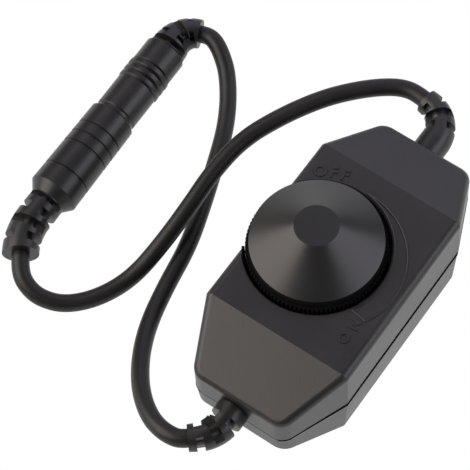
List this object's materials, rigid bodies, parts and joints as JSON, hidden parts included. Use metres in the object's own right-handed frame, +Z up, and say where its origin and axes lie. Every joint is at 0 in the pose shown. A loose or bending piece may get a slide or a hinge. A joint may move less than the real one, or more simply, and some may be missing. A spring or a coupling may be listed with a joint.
{
  "type": "rotary cord dimmer",
  "caption": "In-line rotary dimmer for low-voltage lights: a faceted two-part case with a cone knob, slotted strain reliefs and two cords ending in a barrel plug and its socket.",
  "frame": {"origin": "centre of the case's flat underside, on the surface that it lies on", "axes": "+X along the case towards the end where the socket's cord enters, +Y towards the long side where the knob stands proud, +Z up through the knob"},
  "size_m": [0.1062, 0.0945, 0.0379],
  "materials": {
    "case": "fine satin texture, black",
    "knob": "smooth satin, black",
    "cord": "smooth soft jacket, black",
    "moulding": "moulded soft plastic, black",
    "steel": "plated",
    "nickel": "bright plated contact",
    "brass": "bare contact",
    "insulation": "hard black plastic",
    "wafer": "brown laminate",
    "board": "green solder mask",
    "component": "black epoxy",
    "can": "sleeved can",
    "lead": "soft insulation"
  },
  "bodies": {
    "dimmer": {"upper_shell": "case", "lower_shell": "case", "case_screws": "steel", "pot_case": "steel", "pot_track": "wafer", "pot_washer": "steel", "pot_nut": "steel", "circuit_board": "board", "power_transistor": "component", "controller_chip": "component", "capacitor": "can", "diode": "component", "resistors": "wafer", "output_leads": "lead", "input_leads": "lead", "output_relief": "moulding", "input_relief": "moulding", "output_cord": "cord", "input_cord": "cord", "plug_body": "moulding", "plug_barrel": "nickel", "plug_insulator": "insulation", "plug_contact": "brass", "socket_body": "moulding", "socket_liner": "insulation", "socket_pin": "nickel", "socket_spring": "brass"},
    "turning_knob": {"knob": "knob", "pot_shaft": "steel", "pot_wiper": "insulation"}
  },
  "joints": [
    {"name": "knob_turn", "type": "hinge", "parent": "dimmer", "child": "turning_knob", "pos_m": [0, 0.00465, 0], "axis": [0, 0, -1], "range_deg": [0, 300]}
  ]
}
